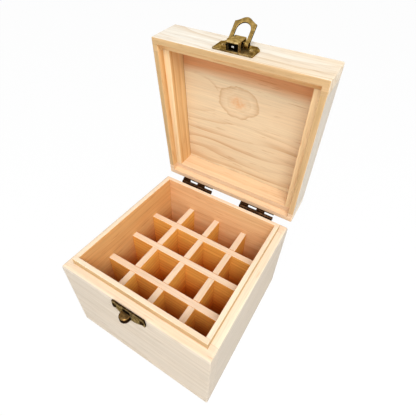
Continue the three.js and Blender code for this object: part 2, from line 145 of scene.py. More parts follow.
# %% Lamps
def lamp(name, place, target, size, power, colour):
    """A square area lamp that looks at a target."""
    light = bpy.data.objects.new(name, bpy.data.lights.new(name, "AREA"))
    bpy.context.scene.collection.objects.link(light)
    light.data.size = size
    light.data.energy = power
    light.data.color = colour
    light.location = place
    away = Vector(place) - Vector(target)
    light.rotation_euler = away.to_track_quat("Z", "Y").to_euler()


warm_white, cool_white = (1, 0.985, 0.96), (0.97, 0.98, 1)
lamp("top_lamp", (0.25, -0.42, 0.8), (0, 0, 0.08), 0.4, 5.6, warm_white)
lamp("front_lamp", (-0.05, -0.85, 0.45), (0, 0, 0.12), 0.5, 1.0, warm_white)
lamp("right_lamp", (0.7, -0.1, 0.35), (0, 0, 0.08), 0.45, 0.8, cool_white)

# %% [markdown]
# ## Floor
#
# The box stands on white paper, a flat sheet that lies a hair below it. What the camera
# sees is mostly plain white, with a share of the lit surface mixed in, so the soft shadow
# round the box stays visible without greying the whole picture.

# %% Floor
def new_material(name):
    material = bpy.data.materials.new(name)
    material.use_nodes = True
    material.node_tree.nodes.clear()
    return material


def object_place(tree):
    """Where on its object a point is."""
    return put(tree, "TexCoord").outputs["Object"]


floor_share = 0.05
floor_size = 6
floor_drop = 0.05 * mm
paper_greys = (0.94, 0.97)
paper = new_material("white_paper")
tree = paper.node_tree
fibres = put(tree, "TexNoise", {"Scale": 400, "Detail": 3, "Vector": object_place(tree)})
shade = put(tree, "ValToRGB", {"Fac": fibres})
for element, grey in zip(shade.color_ramp.elements, paper_greys):
    element.color = (grey, grey, grey, 1)
lit = put(tree, "BsdfDiffuse", {"Color": shade})
plain = put(tree, "Emission", {"Color": (1, 1, 1, 1), "Strength": 1})
seen = put(tree, "MixShader", {0: floor_share, 1: plain, 2: lit})
either = put(tree, "MixShader",
             {0: seen_directly(tree), 1: lit, 2: seen})
put(tree, "OutputMaterial", {"Surface": either})

bm = bmesh.new()
bmesh.ops.create_grid(bm, x_segments=4, y_segments=4, size=floor_size / 2)
bmesh.ops.translate(bm, vec=(0, 0, -floor_drop), verts=bm.verts)
sheet = bpy.data.meshes.new("floor")
bm.to_mesh(sheet)
bm.free()
sheet.materials.append(paper)
floor = bpy.data.objects.new("floor", sheet)
bpy.context.scene.collection.objects.link(floor)
print("floor", floor_size, "m wide")

# %% [markdown]
# ## Pine
#
# A board is a slice of a tree, and its pattern is where that slice meets the growth rings.
# So the material keeps to that: rings are drawn round an axis that runs along the grain,
# and each board is told where it lay in its tree. A face that lies flat to the rings shows
# wide flames, and one that cuts straight through them shows close straight lines. Ring
# lines have one sharp side, the end of each summer. Over them lie fine fibres, short resin
# flecks and slow changes of tone.
#
# The Mapping node turns the pattern to the board's own length, so one material function
# serves boards that run along X, along Y or up the open lid.

# %% Tools for materials
def linear(red, green, blue):
    """A colour as the eye reads it, from 0 to 255, as the amounts of light it stands for."""
    def light(share):
        return share / 12.92 if share <= 0.04045 else ((share + 0.055) / 1.055) ** 2.4

    return light(red / 255), light(green / 255), light(blue / 255), 1


def ramp(tree, fac, stops):
    """A colour ramp from (position, grey) pairs."""
    node = put(tree, "ValToRGB", {"Fac": fac})
    elements = node.color_ramp.elements
    while len(elements) < len(stops):
        elements.new(0.5)
    for element, (position, grey) in zip(elements, stops):
        element.position = position
        element.color = (grey, grey, grey, 1)
    return node


def mix(tree, fac, first, second, blend_type="MIX"):
    node = put(tree, "Mix", data_type="RGBA", blend_type=blend_type)
    for name, value in (("Factor", fac), ("A", first), ("B", second)):
        feed(tree, next(s for s in node.inputs if s.name == name and s.enabled), value)
    return next(s for s in node.outputs if s.enabled)


def math_node(tree, operation, first, second=0.0):
    return put(tree, "Math", {0: first, 1: second}, operation=operation)


def times(tree, first, second):
    return math_node(tree, "MULTIPLY", first, second)


def plus(tree, first, second):
    return math_node(tree, "ADD", first, second)


def between(tree, value, begin, end, **settings):
    """0 where the value is begin, 1 where it is end."""
    return put(tree, "MapRange", {"Value": value, "From Min": begin, "From Max": end},
               **settings)


def stretched(tree, vector, scale):
    return put(tree, "Mapping", {"Vector": vector, "Scale": scale})


def noise(tree, vector, stretch, scale, detail, roughness=0.5):
    """Noise drawn out along X. A stretch of 0.1 makes it ten times as long."""
    return put(tree, "TexNoise", {
        "Vector": stretched(tree, vector, (stretch, 1, 1)), "Scale": scale, "Detail": detail,
        "Roughness": roughness})


def edge_and_crease_mask(tree, radius):
    """1 on edges and corners, 0 on flats: where a rounded normal leaves the true one."""
    rounded = put(tree, "Bevel", {"Radius": radius}, samples=4)
    true = put(tree, "NewGeometry")
    along = put(tree, "VectorMath",
                {0: rounded, 1: true.outputs["Normal"]}, operation="DOT_PRODUCT")
    lost = math_node(tree, "SUBTRACT", 1.0, along.outputs["Value"])
    return ramp(tree, lost, [(0.02, 0.0), (0.25, 1.0)])


print("pale pine as amounts of light:", [round(v, 3) for v in linear(238, 216, 190)])

# %% [markdown]
# A knot is a branch that the tree grew round. The rings swell where they pass it. A dark
# line closes round it, and another follows the swollen rings and trails off to the left.
# The middle of the branch is orange and speckled. All of this comes from one distance to
# the knot, counted in knot radii and made a little ragged by noise.

# %% Knot
knot_length, knot_depth = 1.35, 4
knot_ragged = 0.55
knot_swelling = 2.1
tail_width = 3 * mm
ragged_noise, speckle_noise = (1, 110, 2), (1, 420, 2)


def knot_marks(tree, board, across, knot, tree_centre, shift):
    """What a knot does to a board: its push on the rings, its lines and its eye."""
    x, y, z, radius, push = knot
    centre = Vector((x * mm, y * mm, z * mm)) - Vector((-shift, *tree_centre)) * mm
    close = put(tree, "Mapping", {
        "Vector": board, "Location": centre,
        "Scale": (radius * knot_length * mm, radius * mm, radius * knot_depth * mm),
    }, vector_type="TEXTURE")
    far = put(tree, "VectorMath", {0: close}, operation="LENGTH").outputs["Value"]
    side = put(tree, "SeparateXYZ", {0: close}).outputs["X"]
    jagged = plus(tree, noise(tree, board, *ragged_noise), -0.5)
    reach = plus(tree, far, times(tree, jagged, knot_ragged))
    swell = math_node(tree, "EXPONENT", times(tree, times(tree, reach, reach), -0.5))

    # a ramp runs from 0 to 1, so it is fed half the reach to look two radii far
    ring = ramp(tree, times(tree, reach, 0.5), [
        (0.2, 0.0), (0.27, 0.22), (0.31, 0.0), (0.36, 0.08), (0.45, 0.35), (0.5, 0.8), (0.53, 0.0)])
    bent = math_node(tree, "SUBTRACT", across, times(tree, swell, radius * knot_swelling * mm))
    level_line = (y - radius - tree_centre[0]) * mm
    tail = between(tree, bent, level_line - tail_width, level_line + tail_width)
    tail = ramp(tree, tail, [(0.0, 0.0), (0.3, 0.3), (0.5, 0.6), (0.7, 0.0)])
    # two radii are added, so the tail shows from one radius left of the middle outwards
    left_only = ramp(tree, plus(tree, side, 2.0), [(0.0, 0.5), (0.85, 1.0), (1.0, 0.0)])
    lines = math_node(tree, "MAXIMUM", ring, times(tree, tail, left_only))

    speckle = ramp(tree, noise(tree, board, *speckle_noise), [(0.4, 0.35), (0.6, 1.0)])
    eye = times(tree, ramp(tree, far, [(0.0, 1.0), (0.2, 0.8), (0.5, 0.0)]), speckle)
    return times(tree, swell, push), lines, eye


print("a knot reaches", knot_length, "times as far along the grain as across it")

# %% [markdown]
# The rings are a Wave texture of kind RINGS with a saw profile: its slow rise and sudden
# fall are the pale spring wood and the sharp end of summer. Its rings go round the X axis,
# so a board only has to be placed with its length along X and its tree's heart at zero.

# %% Board
def moved(x, y, z):
    return Matrix.Translation((x, y, z))


def turned(degrees, axis):
    return Matrix.Rotation(math.radians(degrees), 4, axis)


wave_scale = math.tau / 20  # makes a Wave texture repeat once per metre
ring_stretch, ring_distortion = 0.12, 1.6
wander_phase, wander_shift = 26, 46 * mm
# each noise's stretch, scale, detail and perhaps roughness
wander_noise, uneven_noise, tone_noise = (0.3, 22, 2, 0.45), (0.25, 60, 2), (0.35, 30, 2)
fibre_noise, streak_noise, fleck_noise = (0.025, 1100, 4, 0.65), (0.02, 260, 2), (0.09, 700, 1)
knot_heart = linear(222, 158, 100)
wear_and_shade_width = 0.5 * mm


def pine(name, wood, lie, tree_centre, ring_spacing, line_strength, waviness=1.0,
         blush_strength=0.5, shift=0.0, streaks=0.22, knot=None, lines_from=None, stain=None,
         depth_shade=None):
    """Raw pine. wood is its early, late and blush colour. lie turns the board's length to X.
    tree_centre is the tree's heart in millimetres across the board, Y and Z after the turn.
    shift slides the pattern along the board. knot is a knot's place on the shut lid, its radius
    and its push on the rings. lines_from says where across the board the ring lines begin and
    where they are full. stain is a colour, where it is full and where it ends. depth_shade is a
    tint and the two heights between which it comes in: painted shade, darker and more orange
    lower down inside the box."""
    early, late, blush = (linear(*colour) for colour in wood)
    material = new_material(name)
    tree = material.node_tree
    seat = moved(shift * mm, -tree_centre[0] * mm, -tree_centre[1] * mm) @ lie
    board = put(tree, "Mapping", {
        "Vector": object_place(tree), "Location": seat.translation, "Rotation": seat.to_euler(),
    })

    # rings, pushed about by a slow wander along the board and by a knot
    slow = plus(tree, noise(tree, board, *wander_noise), -0.5)
    phase = times(tree, slow, wander_phase * waviness)
    across = put(tree, "SeparateXYZ", {0: board}).outputs["Y"]
    across = plus(tree, across, times(tree, slow, wander_shift))
    if knot:
        push, knot_lines, eye = knot_marks(tree, board, across, knot, tree_centre, shift)
        phase = plus(tree, phase, push)
    rings = put(tree, "TexWave", {
        "Vector": stretched(tree, board, (ring_stretch, 1, 1)),
        "Scale": wave_scale / (ring_spacing * mm), "Phase Offset": phase,
        "Distortion": ring_distortion * waviness, "Detail": 2.5, "Detail Scale": 0.6,
    }, wave_type="RINGS", rings_direction="X", wave_profile="SAW").outputs["Fac"]
    summer = ramp(tree, rings, [(0.0, 0.0), (0.55, 0.08), (0.86, 0.75), (0.95, 1.0), (1.0, 0.05)])
    uneven = ramp(tree, noise(tree, board, *uneven_noise), [(0.35, 0.25), (0.65, 1.0)])
    line = times(tree, times(tree, summer, uneven), line_strength)
    if lines_from:
        begin, full = ((v - tree_centre[0]) * mm for v in lines_from)
        line = times(tree, line, between(tree, across, begin, full))
    if knot:
        line = math_node(tree, "MAXIMUM", line, times(tree, knot_lines, 0.7))

    # fibres, streaks, flecks and tone
    fibre = noise(tree, board, *fibre_noise)
    streak = ramp(tree, noise(tree, board, *streak_noise), [(0.4, 0.0), (0.62, streaks)])
    fleck = ramp(tree, noise(tree, board, *fleck_noise), [(0.66, 0.0), (0.74, 1.0)])
    tone = ramp(tree, noise(tree, board, *tone_noise), [(0.38, 0.0), (0.66, 1.0)])
    wear_and_crease_shade = edge_and_crease_mask(tree, wear_and_shade_width)

    colour = mix(tree, times(tree, tone, blush_strength), early, blush)
    if stain:
        stain_colour, full, end = stain
        full, end = ((v - tree_centre[0]) * mm for v in (full, end))
        colour = mix(tree, between(tree, across, end, full), colour, stain_colour)
    colour = mix(tree, line, colour, late)
    colour = mix(tree, streak, colour, late)
    colour = mix(tree, 1.0, colour, ramp(tree, fibre, [(0.3, 0.88), (0.7, 1.04)]), "MULTIPLY")
    colour = mix(tree, times(tree, fleck, 0.3), colour, late, "MULTIPLY")
    if knot:
        colour = mix(tree, times(tree, eye, 0.75), colour, knot_heart)
    # painted shade: the tint deepens from the height begin down to full
    if depth_shade:
        tint, begin, full = depth_shade
        height = put(tree, "SeparateXYZ", {0: object_place(tree)}).outputs["Z"]
        shade_share = between(tree, height, begin * mm, full * mm, interpolation_type="SMOOTHSTEP")
        colour = mix(tree, shade_share, colour, tint, "MULTIPLY")
    # edges and inner creases are darkened a little: wear on the edges, painted shade in the creases
    colour = mix(tree, times(tree, wear_and_crease_shade, 0.28), colour, late, "MULTIPLY")

    relief = plus(tree, times(tree, fibre, 0.6), times(tree, summer, 0.4))
    bump = put(tree, "Bump", {"Height": relief, "Strength": 0.16, "Distance": 0.12 * mm})
    roughness = ramp(tree, plus(tree, fibre, times(tree, wear_and_crease_shade, -0.3)), [(0.2, 0.58), (0.8, 0.78)])
    surface = put(tree, "BsdfPrincipled", {
        "Base Color": colour, "Roughness": roughness, "Normal": bump,
        "Specular IOR Level": 0.25})
    put(tree, "OutputMaterial", {"Surface": surface})
    return material


along_x = Matrix.Identity(4)
along_y = turned(-90, "Z")
print("a board along Y is turned to X:", along_y @ Vector((0, 1, 0)))

# %% [markdown]
# ## Where the lid is
#
# The lid is drawn shut, where it is easy to think about, with its rim at Z = 0, and is
# then swung open about the hinge pins. The same turn, undone, lets its pine find the
# grain's direction again.

# %% The lid's place
box_width = 130 * mm
half_box = box_width / 2
base_height = 81 * mm
seat_gap = 0.3 * mm
hinge_axis = Vector((0, half_box + 3.2 * mm, base_height - 2 * mm))
open_angle = 84
swing = moved(*hinge_axis) @ turned(-open_angle, "X") @ moved(*-hinge_axis)
lid_place = swing @ moved(0, 0, base_height + seat_gap)
to_shut_lid = lid_place.inverted()
print("the open lid's front edge:", [round(v, 4) for v in lid_place @ Vector((0, -half_box, 0))])

# %% [markdown]
# Each side of a board that looks different in the photograph gets its own pine, which is
# one row of a table. The woods are three colours each: early wood, late wood and a blush.

# %% Pine for each board
# These rows are lit and shaded copies of one pine. Faces that meet the lamps are painted pale, near
# white on the open lid's front and cream on the shoulder and the strips' tops. Faces inside the box
# are painted orange and darker, as painted shade and bounced light, down to the dark brown bottom.
outside_lit_wood = (206, 194, 178), (180, 162, 138), (212, 196, 176)
step_lit_wood = (238, 216, 190), (218, 182, 138), (240, 208, 180)
side_step_lit_wood = (243, 222, 196), (222, 190, 148), (243, 214, 188)
rim_wood = (208, 172, 124), (160, 128, 76), (210, 174, 132)
front_inner_shaded_wood = (240, 196, 144), (208, 140, 78), (240, 182, 136)
back_inner_shaded_wood = (238, 196, 144), (208, 142, 78), (238, 184, 134)
side_inner_shaded_wood = (238, 190, 126), (202, 134, 66), (236, 176, 112)
lid_front_lit_wood = (236, 230, 218), (196, 160, 112), (228, 204, 170)
lid_side_wood = (216, 206, 192), (188, 172, 150), (222, 206, 186)
lid_inner_shaded_wood = (238, 202, 148), (200, 136, 66), (228, 182, 124)
lid_back_rim_wood = (236, 206, 172), (190, 150, 104), (240, 204, 172)
lid_back_inner_shaded_wood = (238, 208, 170), (216, 168, 112), (240, 206, 170)
lid_ledge_wood = (244, 216, 172), (210, 164, 104), (240, 208, 158)
panel_wood = (234, 212, 176), (196, 148, 100), (232, 200, 160)
panel_top_wood = (224, 208, 184), (190, 154, 112), (224, 200, 168)
row_shaded_wood = (252, 192, 94), (206, 120, 40), (246, 178, 86)
column_shaded_wood = (255, 202, 98), (216, 130, 44), (252, 188, 90)
bottom_shaded_wood = (196, 118, 56), (124, 62, 20), (180, 104, 48)

lid_x, lid_y = along_x @ to_shut_lid, along_y @ to_shut_lid
front_log, side_log, lid_front_log, lid_side_log = (40, -20), (0, 260), (20, -60), (-20, -120)
row_log, column_log, panel_log = (30, -90), (-25, 150), (-330, 40)
# wood, how the board lies, the heart of its tree, ring spacing in millimetres, line strength
kinds = {
    "front_outside": (outside_lit_wood, along_x, front_log, 5, 0.3),
    "back_outside": (outside_lit_wood, along_x, (10, 60), 5, 0.3),
    "side_outside": (outside_lit_wood, along_y, side_log, 3.4, 0.3),
    "front_step": (step_lit_wood, along_x, front_log, 5, 0.25),
    "side_step": (side_step_lit_wood, along_y, side_log, 3.4, 0.25),
    "front_lip": (rim_wood, along_x, front_log, 5, 0.3),
    "side_lip": (rim_wood, along_y, side_log, 3.4, 0.3),
    "front_inside": (front_inner_shaded_wood, along_x, front_log, 5, 0.6),
    "back_inside": (back_inner_shaded_wood, along_x, (10, -150), 7, 0.4),
    "side_inside": (side_inner_shaded_wood, along_y, side_log, 5, 0.4),
    "lid_front_outside": (lid_front_lit_wood, lid_x, lid_front_log, 6, 0.55),
    "lid_side_outside": (lid_side_wood, lid_y, (20, -160), 3.5, 0.45),
    "lid_front_rim": (rim_wood, lid_x, lid_front_log, 5, 0.35),
    "lid_side_rim": (rim_wood, lid_y, lid_side_log, 3, 0.5),
    "lid_front_inside": (lid_inner_shaded_wood, lid_x, lid_front_log, 5, 0.5),
    "lid_back_rim": (lid_back_rim_wood, lid_x, lid_front_log, 5, 0.35),
    "lid_back_inside": (lid_back_inner_shaded_wood, lid_x, (60, -90), 9, 0.4),
    "lid_ledge": (lid_ledge_wood, lid_y, lid_side_log, 5, 0.3),
    "lid_side_inside": (lid_inner_shaded_wood, lid_y, lid_side_log, 6.5, 1.0),
    "lid_panel": (panel_wood, lid_x, panel_log, 9.5, 0.75),
    "lid_panel_outside": (panel_top_wood, lid_x, panel_log, 9.5, 0.5),
    "row_strip": (row_shaded_wood, along_x, row_log, 4.5, 0.6),
    "column_strip": (column_shaded_wood, along_y, column_log, 4.5, 0.6),
    "row_top": (step_lit_wood, along_x, row_log, 4.5, 0.3),
    "column_top": (step_lit_wood, along_y, column_log, 4.5, 0.3),
    "bottom_board": (bottom_shaded_wood, along_x, (10, -60), 2.5, 0.6),
}
# painted shade inside the base: an orange tint that starts 54 mm up and is full at 16 mm
painted_low_shade = (linear(238, 172, 78), 54, 16)
special = {
    "back_outside": {"shift": 200},
    "front_inside": {"depth_shade": painted_low_shade},
    "back_inside": {"depth_shade": painted_low_shade, "shift": 200},
    "side_inside": {"depth_shade": painted_low_shade},
    "lid_front_outside": {"waviness": 1.3, "blush_strength": 0.8},
    "lid_side_outside": {"shift": 90},
    "lid_side_inside": {"waviness": 0.25, "shift": 90},
    "lid_panel": {"waviness": 1.25, "knot": (-4, -19, 22.4, 13, 9), "lines_from": (-8, 14),
                  "streaks": 0.05, "stain": (linear(214, 152, 102), -42, -31)},
    "lid_panel_outside": {"waviness": 1.25},
    "row_strip": {"depth_shade": painted_low_shade},
    "column_strip": {"depth_shade": painted_low_shade},
}
pines = {name: pine(name, *kind, **special.get(name, {})) for name, kind in kinds.items()}
print("kinds of pine:", len(pines))

# %% [markdown]
# ## Boards
#
# In the workshop each wall is a board, and the lip round the base's top is milled on it.
# Here the four walls start as one block, because a step that runs round the box is then a
# single inset. The block is hollowed by bridging its top and bottom openings, and only
# then sawn into boards, so that everything meets exactly at the joints.
#
# Rounding comes last. Each edge carries the share of rounding it gets as a bevel weight,
# and one Bevel modifier does them all, so edges of unlike radius meet cleanly.

# %% Tools for blocks
greatest_rounding = 2.4 * mm
touching = 0.01 * mm


def add_block(bm, low, high):
    """Adds a block between two corners."""
    made = bmesh.ops.create_cube(bm, size=1)["verts"]
    low, high = Vector(low), Vector(high)
    bmesh.ops.scale(bm, vec=high - low, verts=made)
    bmesh.ops.translate(bm, vec=(low + high) / 2, verts=made)


def block(low, high):
    bm = bmesh.new()
    add_block(bm, low, high)
    return bm


def middle_face(bm, up):
    """The face nearest the block's axis that looks up (1) or down (-1)."""
    bm.normal_update()
    level_faces = [f for f in bm.faces if f.normal.z * up > 0.99]
    return min(level_faces, key=lambda f: f.calc_center_median().xy.length)


def step(bm, up, inset, rise):
    """Insets the middle face and moves the inner part up or down by rise."""
    bmesh.ops.inset_individual(bm, faces=[middle_face(bm, up)], thickness=inset,
                               use_even_offset=True)
    if rise:
        grown = bmesh.ops.extrude_discrete_faces(bm, faces=[middle_face(bm, up)])["faces"]
        bmesh.ops.translate(bm, vec=(0, 0, rise), verts=grown[0].verts)


def open_through(bm):
    """Joins the middle faces of the top and the bottom into one hole."""
    ends = [middle_face(bm, 1), middle_face(bm, -1)]
    edges = [e for f in ends for e in f.edges]
    bmesh.ops.delete(bm, geom=ends, context="FACES_ONLY")
    bmesh.ops.bridge_loops(bm, edges=edges)


def near(a, b):
    return abs(a - b) < touching


def level(a, b, height):
    """Says whether both ends of an edge are at a height."""
    return near(a.z, height) and near(b.z, height)


def picked(bm, chosen):
    """The edges that chosen says yes to. It is asked about an edge's two ends."""
    return [e for e in bm.edges if chosen(*(v.co for v in e.verts))]


def weights(bm):
    layer = bm.edges.layers.float
    return layer.get("bevel_weight_edge") or layer.new("bevel_weight_edge")


def round_off(bm, radius, chosen):
    """Gives the chosen edges a rounding, which the Bevel modifier carries out."""
    weight = weights(bm)
    for edge in picked(bm, chosen):
        edge[weight] = radius / greatest_rounding


def cut(bm, point, direction, **settings):
    """Draws a plane's line on all faces that it meets."""
    parts = bm.verts[:] + bm.edges[:] + bm.faces[:]
    bmesh.ops.bisect_plane(bm, geom=parts, plane_co=point, plane_no=direction,
                           dist=touching / 10, **settings)


def saw(bm, point, direction):
    """Keeps what lies against the direction, and closes the cut."""
    cut(bm, point, direction, clear_outer=True)
    bmesh.ops.holes_fill(bm, edges=[e for e in bm.edges if e.is_boundary])


print("greatest rounding", greatest_rounding / mm, "mm")

# %% Finishing a piece
crease = math.radians(28)


def finish(bm, name, body, stands_for, materials, region=None, place=None, segments=4):
    """Makes the bmesh a piece that rides on a body in place of CAD nodes. region gives the
    number of the material that a face takes."""
    bmesh.ops.remove_doubles(bm, verts=bm.verts, dist=touching / 10)
    bmesh.ops.recalc_face_normals(bm, faces=bm.faces)
    weight = weights(bm)
    for face in bm.faces:
        face.smooth = True
        face.material_index = region(face) if region else 0
    for edge in bm.edges:
        if edge[weight] == 0 and edge.is_manifold and edge.calc_face_angle() > crease:
            edge.smooth = False
    if place is not None:
        bmesh.ops.transform(bm, matrix=place, verts=bm.verts)
    gaps = sum(1 for e in bm.edges if not e.is_manifold)
    mesh = bpy.data.meshes.new(name)
    bm.to_mesh(mesh)
    bm.free()
    piece = bpy.data.objects.new(name, mesh)
    bpy.context.scene.collection.objects.link(piece)
    for material in materials:
        mesh.materials.append(material)
    if any(v.value > 0 for v in mesh.attributes["bevel_weight_edge"].data):
        rounding = piece.modifiers.new("rounding", "BEVEL")
        rounding.limit_method = "WEIGHT"
        rounding.width = greatest_rounding
        rounding.segments = segments
        rounding.profile = 0.5
        rounding.harden_normals = True
        rounding.material = -1
    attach(piece, body)
    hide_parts(*stands_for)
    print(f"{name}: {len(mesh.polygons)} faces, {gaps} open edges")


print("pieces are finished one by one from here")

# %% [markdown]
# ## Base walls
#
# The shoulder is the ledge that the lid's rim rests on. Inside it the lip stands up and
# centres the lid. The shoulder's outer edge is rounded generously, as a router would leave
# it, and everything else is only broken with sandpaper.

# %% Tools for walls
shoulder = 6.3 * mm
lip_thickness = 3.7 * mm
lip_height = 5.6 * mm
wall = shoulder + lip_thickness
inner_half = half_box - wall
lip_half = half_box - shoulder
lip_top = base_height + lip_height
hairline = 0.05 * mm


def outermost(co):
    return max(abs(co.x), abs(co.y))


def corner(out):
    """Chooses the upright edges that lie so far out."""
    return lambda a, b: near(a.x, b.x) and near(a.y, b.y) and near(abs(a.x), out)


def round_the_box(height, out):
    """Chooses the level edges that run round the box, so high and so far out."""
    return lambda a, b: (level(a, b, height) and near(outermost(a), out)
                         and near(outermost(b), out))


def inward(face):
    """Above zero for a face that looks towards the box's middle."""
    centre = face.calc_center_median()
    return face.normal.dot(Vector((-centre.x, -centre.y, 0)))


def ring(height, steps, roundings):
    """A ring of wall: a block with steps, opened through and rounded."""
    bm = block((-half_box, -half_box, 0), (half_box, half_box, height))
    for up, inset, rise in steps:
        step(bm, up, inset, rise)
    open_through(bm)
    for radius, chosen in roundings:
        round_off(bm, radius * mm, chosen)
    return bm


def sawn_boards(*ring_values):
    """Saws a ring of wall into a front, a back, a left and a right board."""
    end = inner_half - hairline
    side_ends = [((0, -end, 0), (0, -1, 0)), ((0, end, 0), (0, 1, 0))]
    cuts = {
        "front": [((0, -inner_half, 0), (0, 1, 0))],
        "back": [((0, inner_half, 0), (0, -1, 0))],
        "left": side_ends + [((0, 0, 0), (1, 0, 0))],
        "right": side_ends + [((0, 0, 0), (-1, 0, 0))],
    }
    boards = {}
    for side, planes in cuts.items():
        boards[side] = ring(*ring_values)
        for point, direction in planes:
            saw(boards[side], point, direction)
    return boards


print("the walls are", round(wall / mm, 2), "mm thick")

# %% Base walls
base_steps = [(1, shoulder, lip_height), (1, lip_thickness, 0), (-1, wall, 0)]
base_roundings = [
    (1.0, corner(half_box)), (0.5, corner(lip_half)),
    (0.8, round_the_box(0, half_box)), (2.4, round_the_box(base_height, half_box)),
    (0.6, round_the_box(lip_top, lip_half)), (0.6, round_the_box(lip_top, inner_half)),
]


# the lip's outer side (3) takes the darker rim pine as painted shade
def base_region(face):
    """0 outside, 1 on the shoulder and the lip's top, 2 inside, 3 on the lip's outer side."""
    centre = face.calc_center_median()
    if outermost(centre) < inner_half + touching and inward(face) > 0:
        return 2
    if centre.z > base_height + touching and abs(face.normal.z) < 0.5:
        return 3
    return 1 if centre.z > base_height - touching else 0


base_pines = {
    "front": ("front_outside", "front_step", "front_inside", "front_lip"),
    "back": ("back_outside", "front_step", "back_inside", "front_lip"),
    "left": ("side_outside", "side_step", "side_inside", "side_lip"),
}
base_pines["right"] = base_pines["left"]
for side, board in sawn_boards(base_height, base_steps, base_roundings).items():
    finish(board, f"base_{side}_board", "base", [f"base_{side}_wall"],
           [pines[name] for name in base_pines[side]], region=base_region)

# %% [markdown]
# ## Bottom and dividers
#
# The bottom is a plain panel between the walls. The strips are half-lapped: rows are
# notched from below and columns from above, so they slide into each other. A notch is cut
# as a joiner would, with two saw cuts and a chisel cut: three bisections, the waste
# deleted, and the walls of the notch bridged.

# %% Dividers
divider_half = 2.8 * mm
bottom = 5 * mm
divider_top = 60 * mm
lap_height = 32.5 * mm
pitch = (2 * inner_half + 2 * divider_half) / 4
crossings = [-pitch, 0, pitch]
lap_slack = 0.14 * mm
strip_end = inner_half - 0.12 * mm


def cut_notch(bm, centre, above):
    """A notch across a strip that lies along X, from the lap up (above) or down."""
    half_notch = divider_half + lap_slack
    left, right = centre - half_notch, centre + half_notch
    notch_floor = lap_height - lap_slack / 2 if above else lap_height + lap_slack / 2
    for x in (left, right):
        cut(bm, (x, 0, 0), (1, 0, 0))
    cut(bm, (0, 0, notch_floor), (0, 0, 1))
    waste = []
    for face in bm.faces:
        place = face.calc_center_median()
        if left < place.x < right and (place.z > notch_floor) == above:
            waste.append(face)
    bmesh.ops.delete(bm, geom=waste, context="FACES")
    rim = [e for e in bm.edges if e.is_boundary and near(e.verts[0].co.y, e.verts[1].co.y)]
    bmesh.ops.bridge_loops(bm, edges=rim)


def strip(kind, name, offset):
    bm = block((-strip_end, -divider_half, bottom), (strip_end, divider_half, divider_top))
    for crossing in crossings:
        cut_notch(bm, crossing, above=kind == "column")
    round_off(bm, 0.45 * mm, lambda a, b: level(a, b, divider_top) and near(a.y, b.y))
    place = moved(0, offset, 0)
    if kind == "column":
        place = moved(offset, 0, 0) @ turned(90, "Z")
    # the strips' tops take the pale step pine and their sides the orange pine: painted light on the
    # tops, painted shade on the sides
    finish(bm, f"{kind}_strip_{name}", "base", [f"{kind}_divider_{name}"],
           [pines[f"{kind}_strip"], pines[f"{kind}_top"]], region=lambda f: int(f.normal.z > 0.9),
           place=place)


for name, offset in zip(("front", "middle", "rear"), crossings):
    strip("row", name, offset)
for name, offset in zip(("left", "middle", "right"), crossings):
    strip("column", name, offset)

panel_fit = inner_half - 0.02 * mm
bm = block((-panel_fit, -panel_fit, 0), (panel_fit, panel_fit, bottom))
round_off(bm, 0.3 * mm, lambda a, b: level(a, b, 0))
finish(bm, "bottom_board", "base", ["base_bottom"], [pines["bottom_board"]])
print("compartments", round((pitch - 2 * divider_half) / mm, 2), "mm wide")

# %% [markdown]
# ## Lid
#
# The lid's walls have a rabbet, a step cut out of their inner edge, that drops over the
# base's lip. It is the same block-and-inset work seen from below. The top panel lies
# between the walls, with a thin dark line all round where glue and shadow meet. The knot
# is on its inner face, and its outer face, the lid's top, is plainer.

# %% Lid walls
lid_height = 29 * mm
rim_width = 4.6 * mm
rabbet_height = 6 * mm
lid_steps = [(-1, rim_width, rabbet_height), (-1, wall - rim_width, 0), (1, wall, 0)]
lid_roundings = [
    (1.0, corner(half_box)), (1.0, round_the_box(lid_height, half_box)),
    (0.9, round_the_box(0, half_box)), (0.35, round_the_box(0, half_box - rim_width)),
    (0.35, round_the_box(rabbet_height, inner_half)),
]


def lid_region(face):
    """0 outside, 1 on the rim, 2 inside, 3 on the rabbet's ledge."""
    centre = face.calc_center_median()
    within_rabbet = outermost(centre) < half_box - rim_width + touching
    if within_rabbet and near(centre.z, rabbet_height):
        return 3
    if within_rabbet and inward(face) > 0.001:
        return 2
    return int(near(centre.z, 0))


lid_pines = {
    "front": ("lid_front_outside", "lid_front_rim", "lid_front_inside", "lid_front_inside"),
    "back": ("lid_front_outside", "lid_back_rim", "lid_back_inside", "lid_back_rim"),
    "left": ("lid_side_outside", "lid_side_rim", "lid_side_inside", "lid_ledge"),
}
lid_pines["right"] = lid_pines["left"]
for side, board in sawn_boards(lid_height, lid_steps, lid_roundings).items():
    finish(board, f"lid_{side}_board", "lid", [f"lid_{side}_wall"],
           [pines[name] for name in lid_pines[side]], region=lid_region, place=lid_place)

# %% Lid panel
panel_thickness = 6.6 * mm
panel_half = inner_half - 0.22 * mm
bm = block((-panel_half, -panel_half, lid_height - panel_thickness),
           (panel_half, panel_half, lid_height))
round_off(bm, 0.3 * mm, lambda a, b: near(a.z, b.z))
finish(bm, "lid_panel", "lid", ["lid_top_panel"],
       [pines["lid_panel"], pines["lid_panel_outside"]],
       region=lambda f: int(f.normal.z > 0.5), place=lid_place)

# %% [markdown]
# ## Antique bronze
#
# The fittings are stamped from steel sheet, plated, blackened and then rubbed, so flats
# are bronze and hollows and cut edges stay nearly black. The material mixes the plating
# with the blackening by cloudy noise and pits it finely. Edges get a colour of their own:
# brighter where fingers rub them, and darker on the hinges and the catch, as painted shade.
# Each fitting has its own setting, from the bright knuckle to the dark hinges, and a matte
# black paints the shadow in hollows and behind openings.

# %% Bronze
cloud_noise, brush_noise = (1, 420, 4, 0.6), (0.15, 2600, 2)
pits_scale = 1700


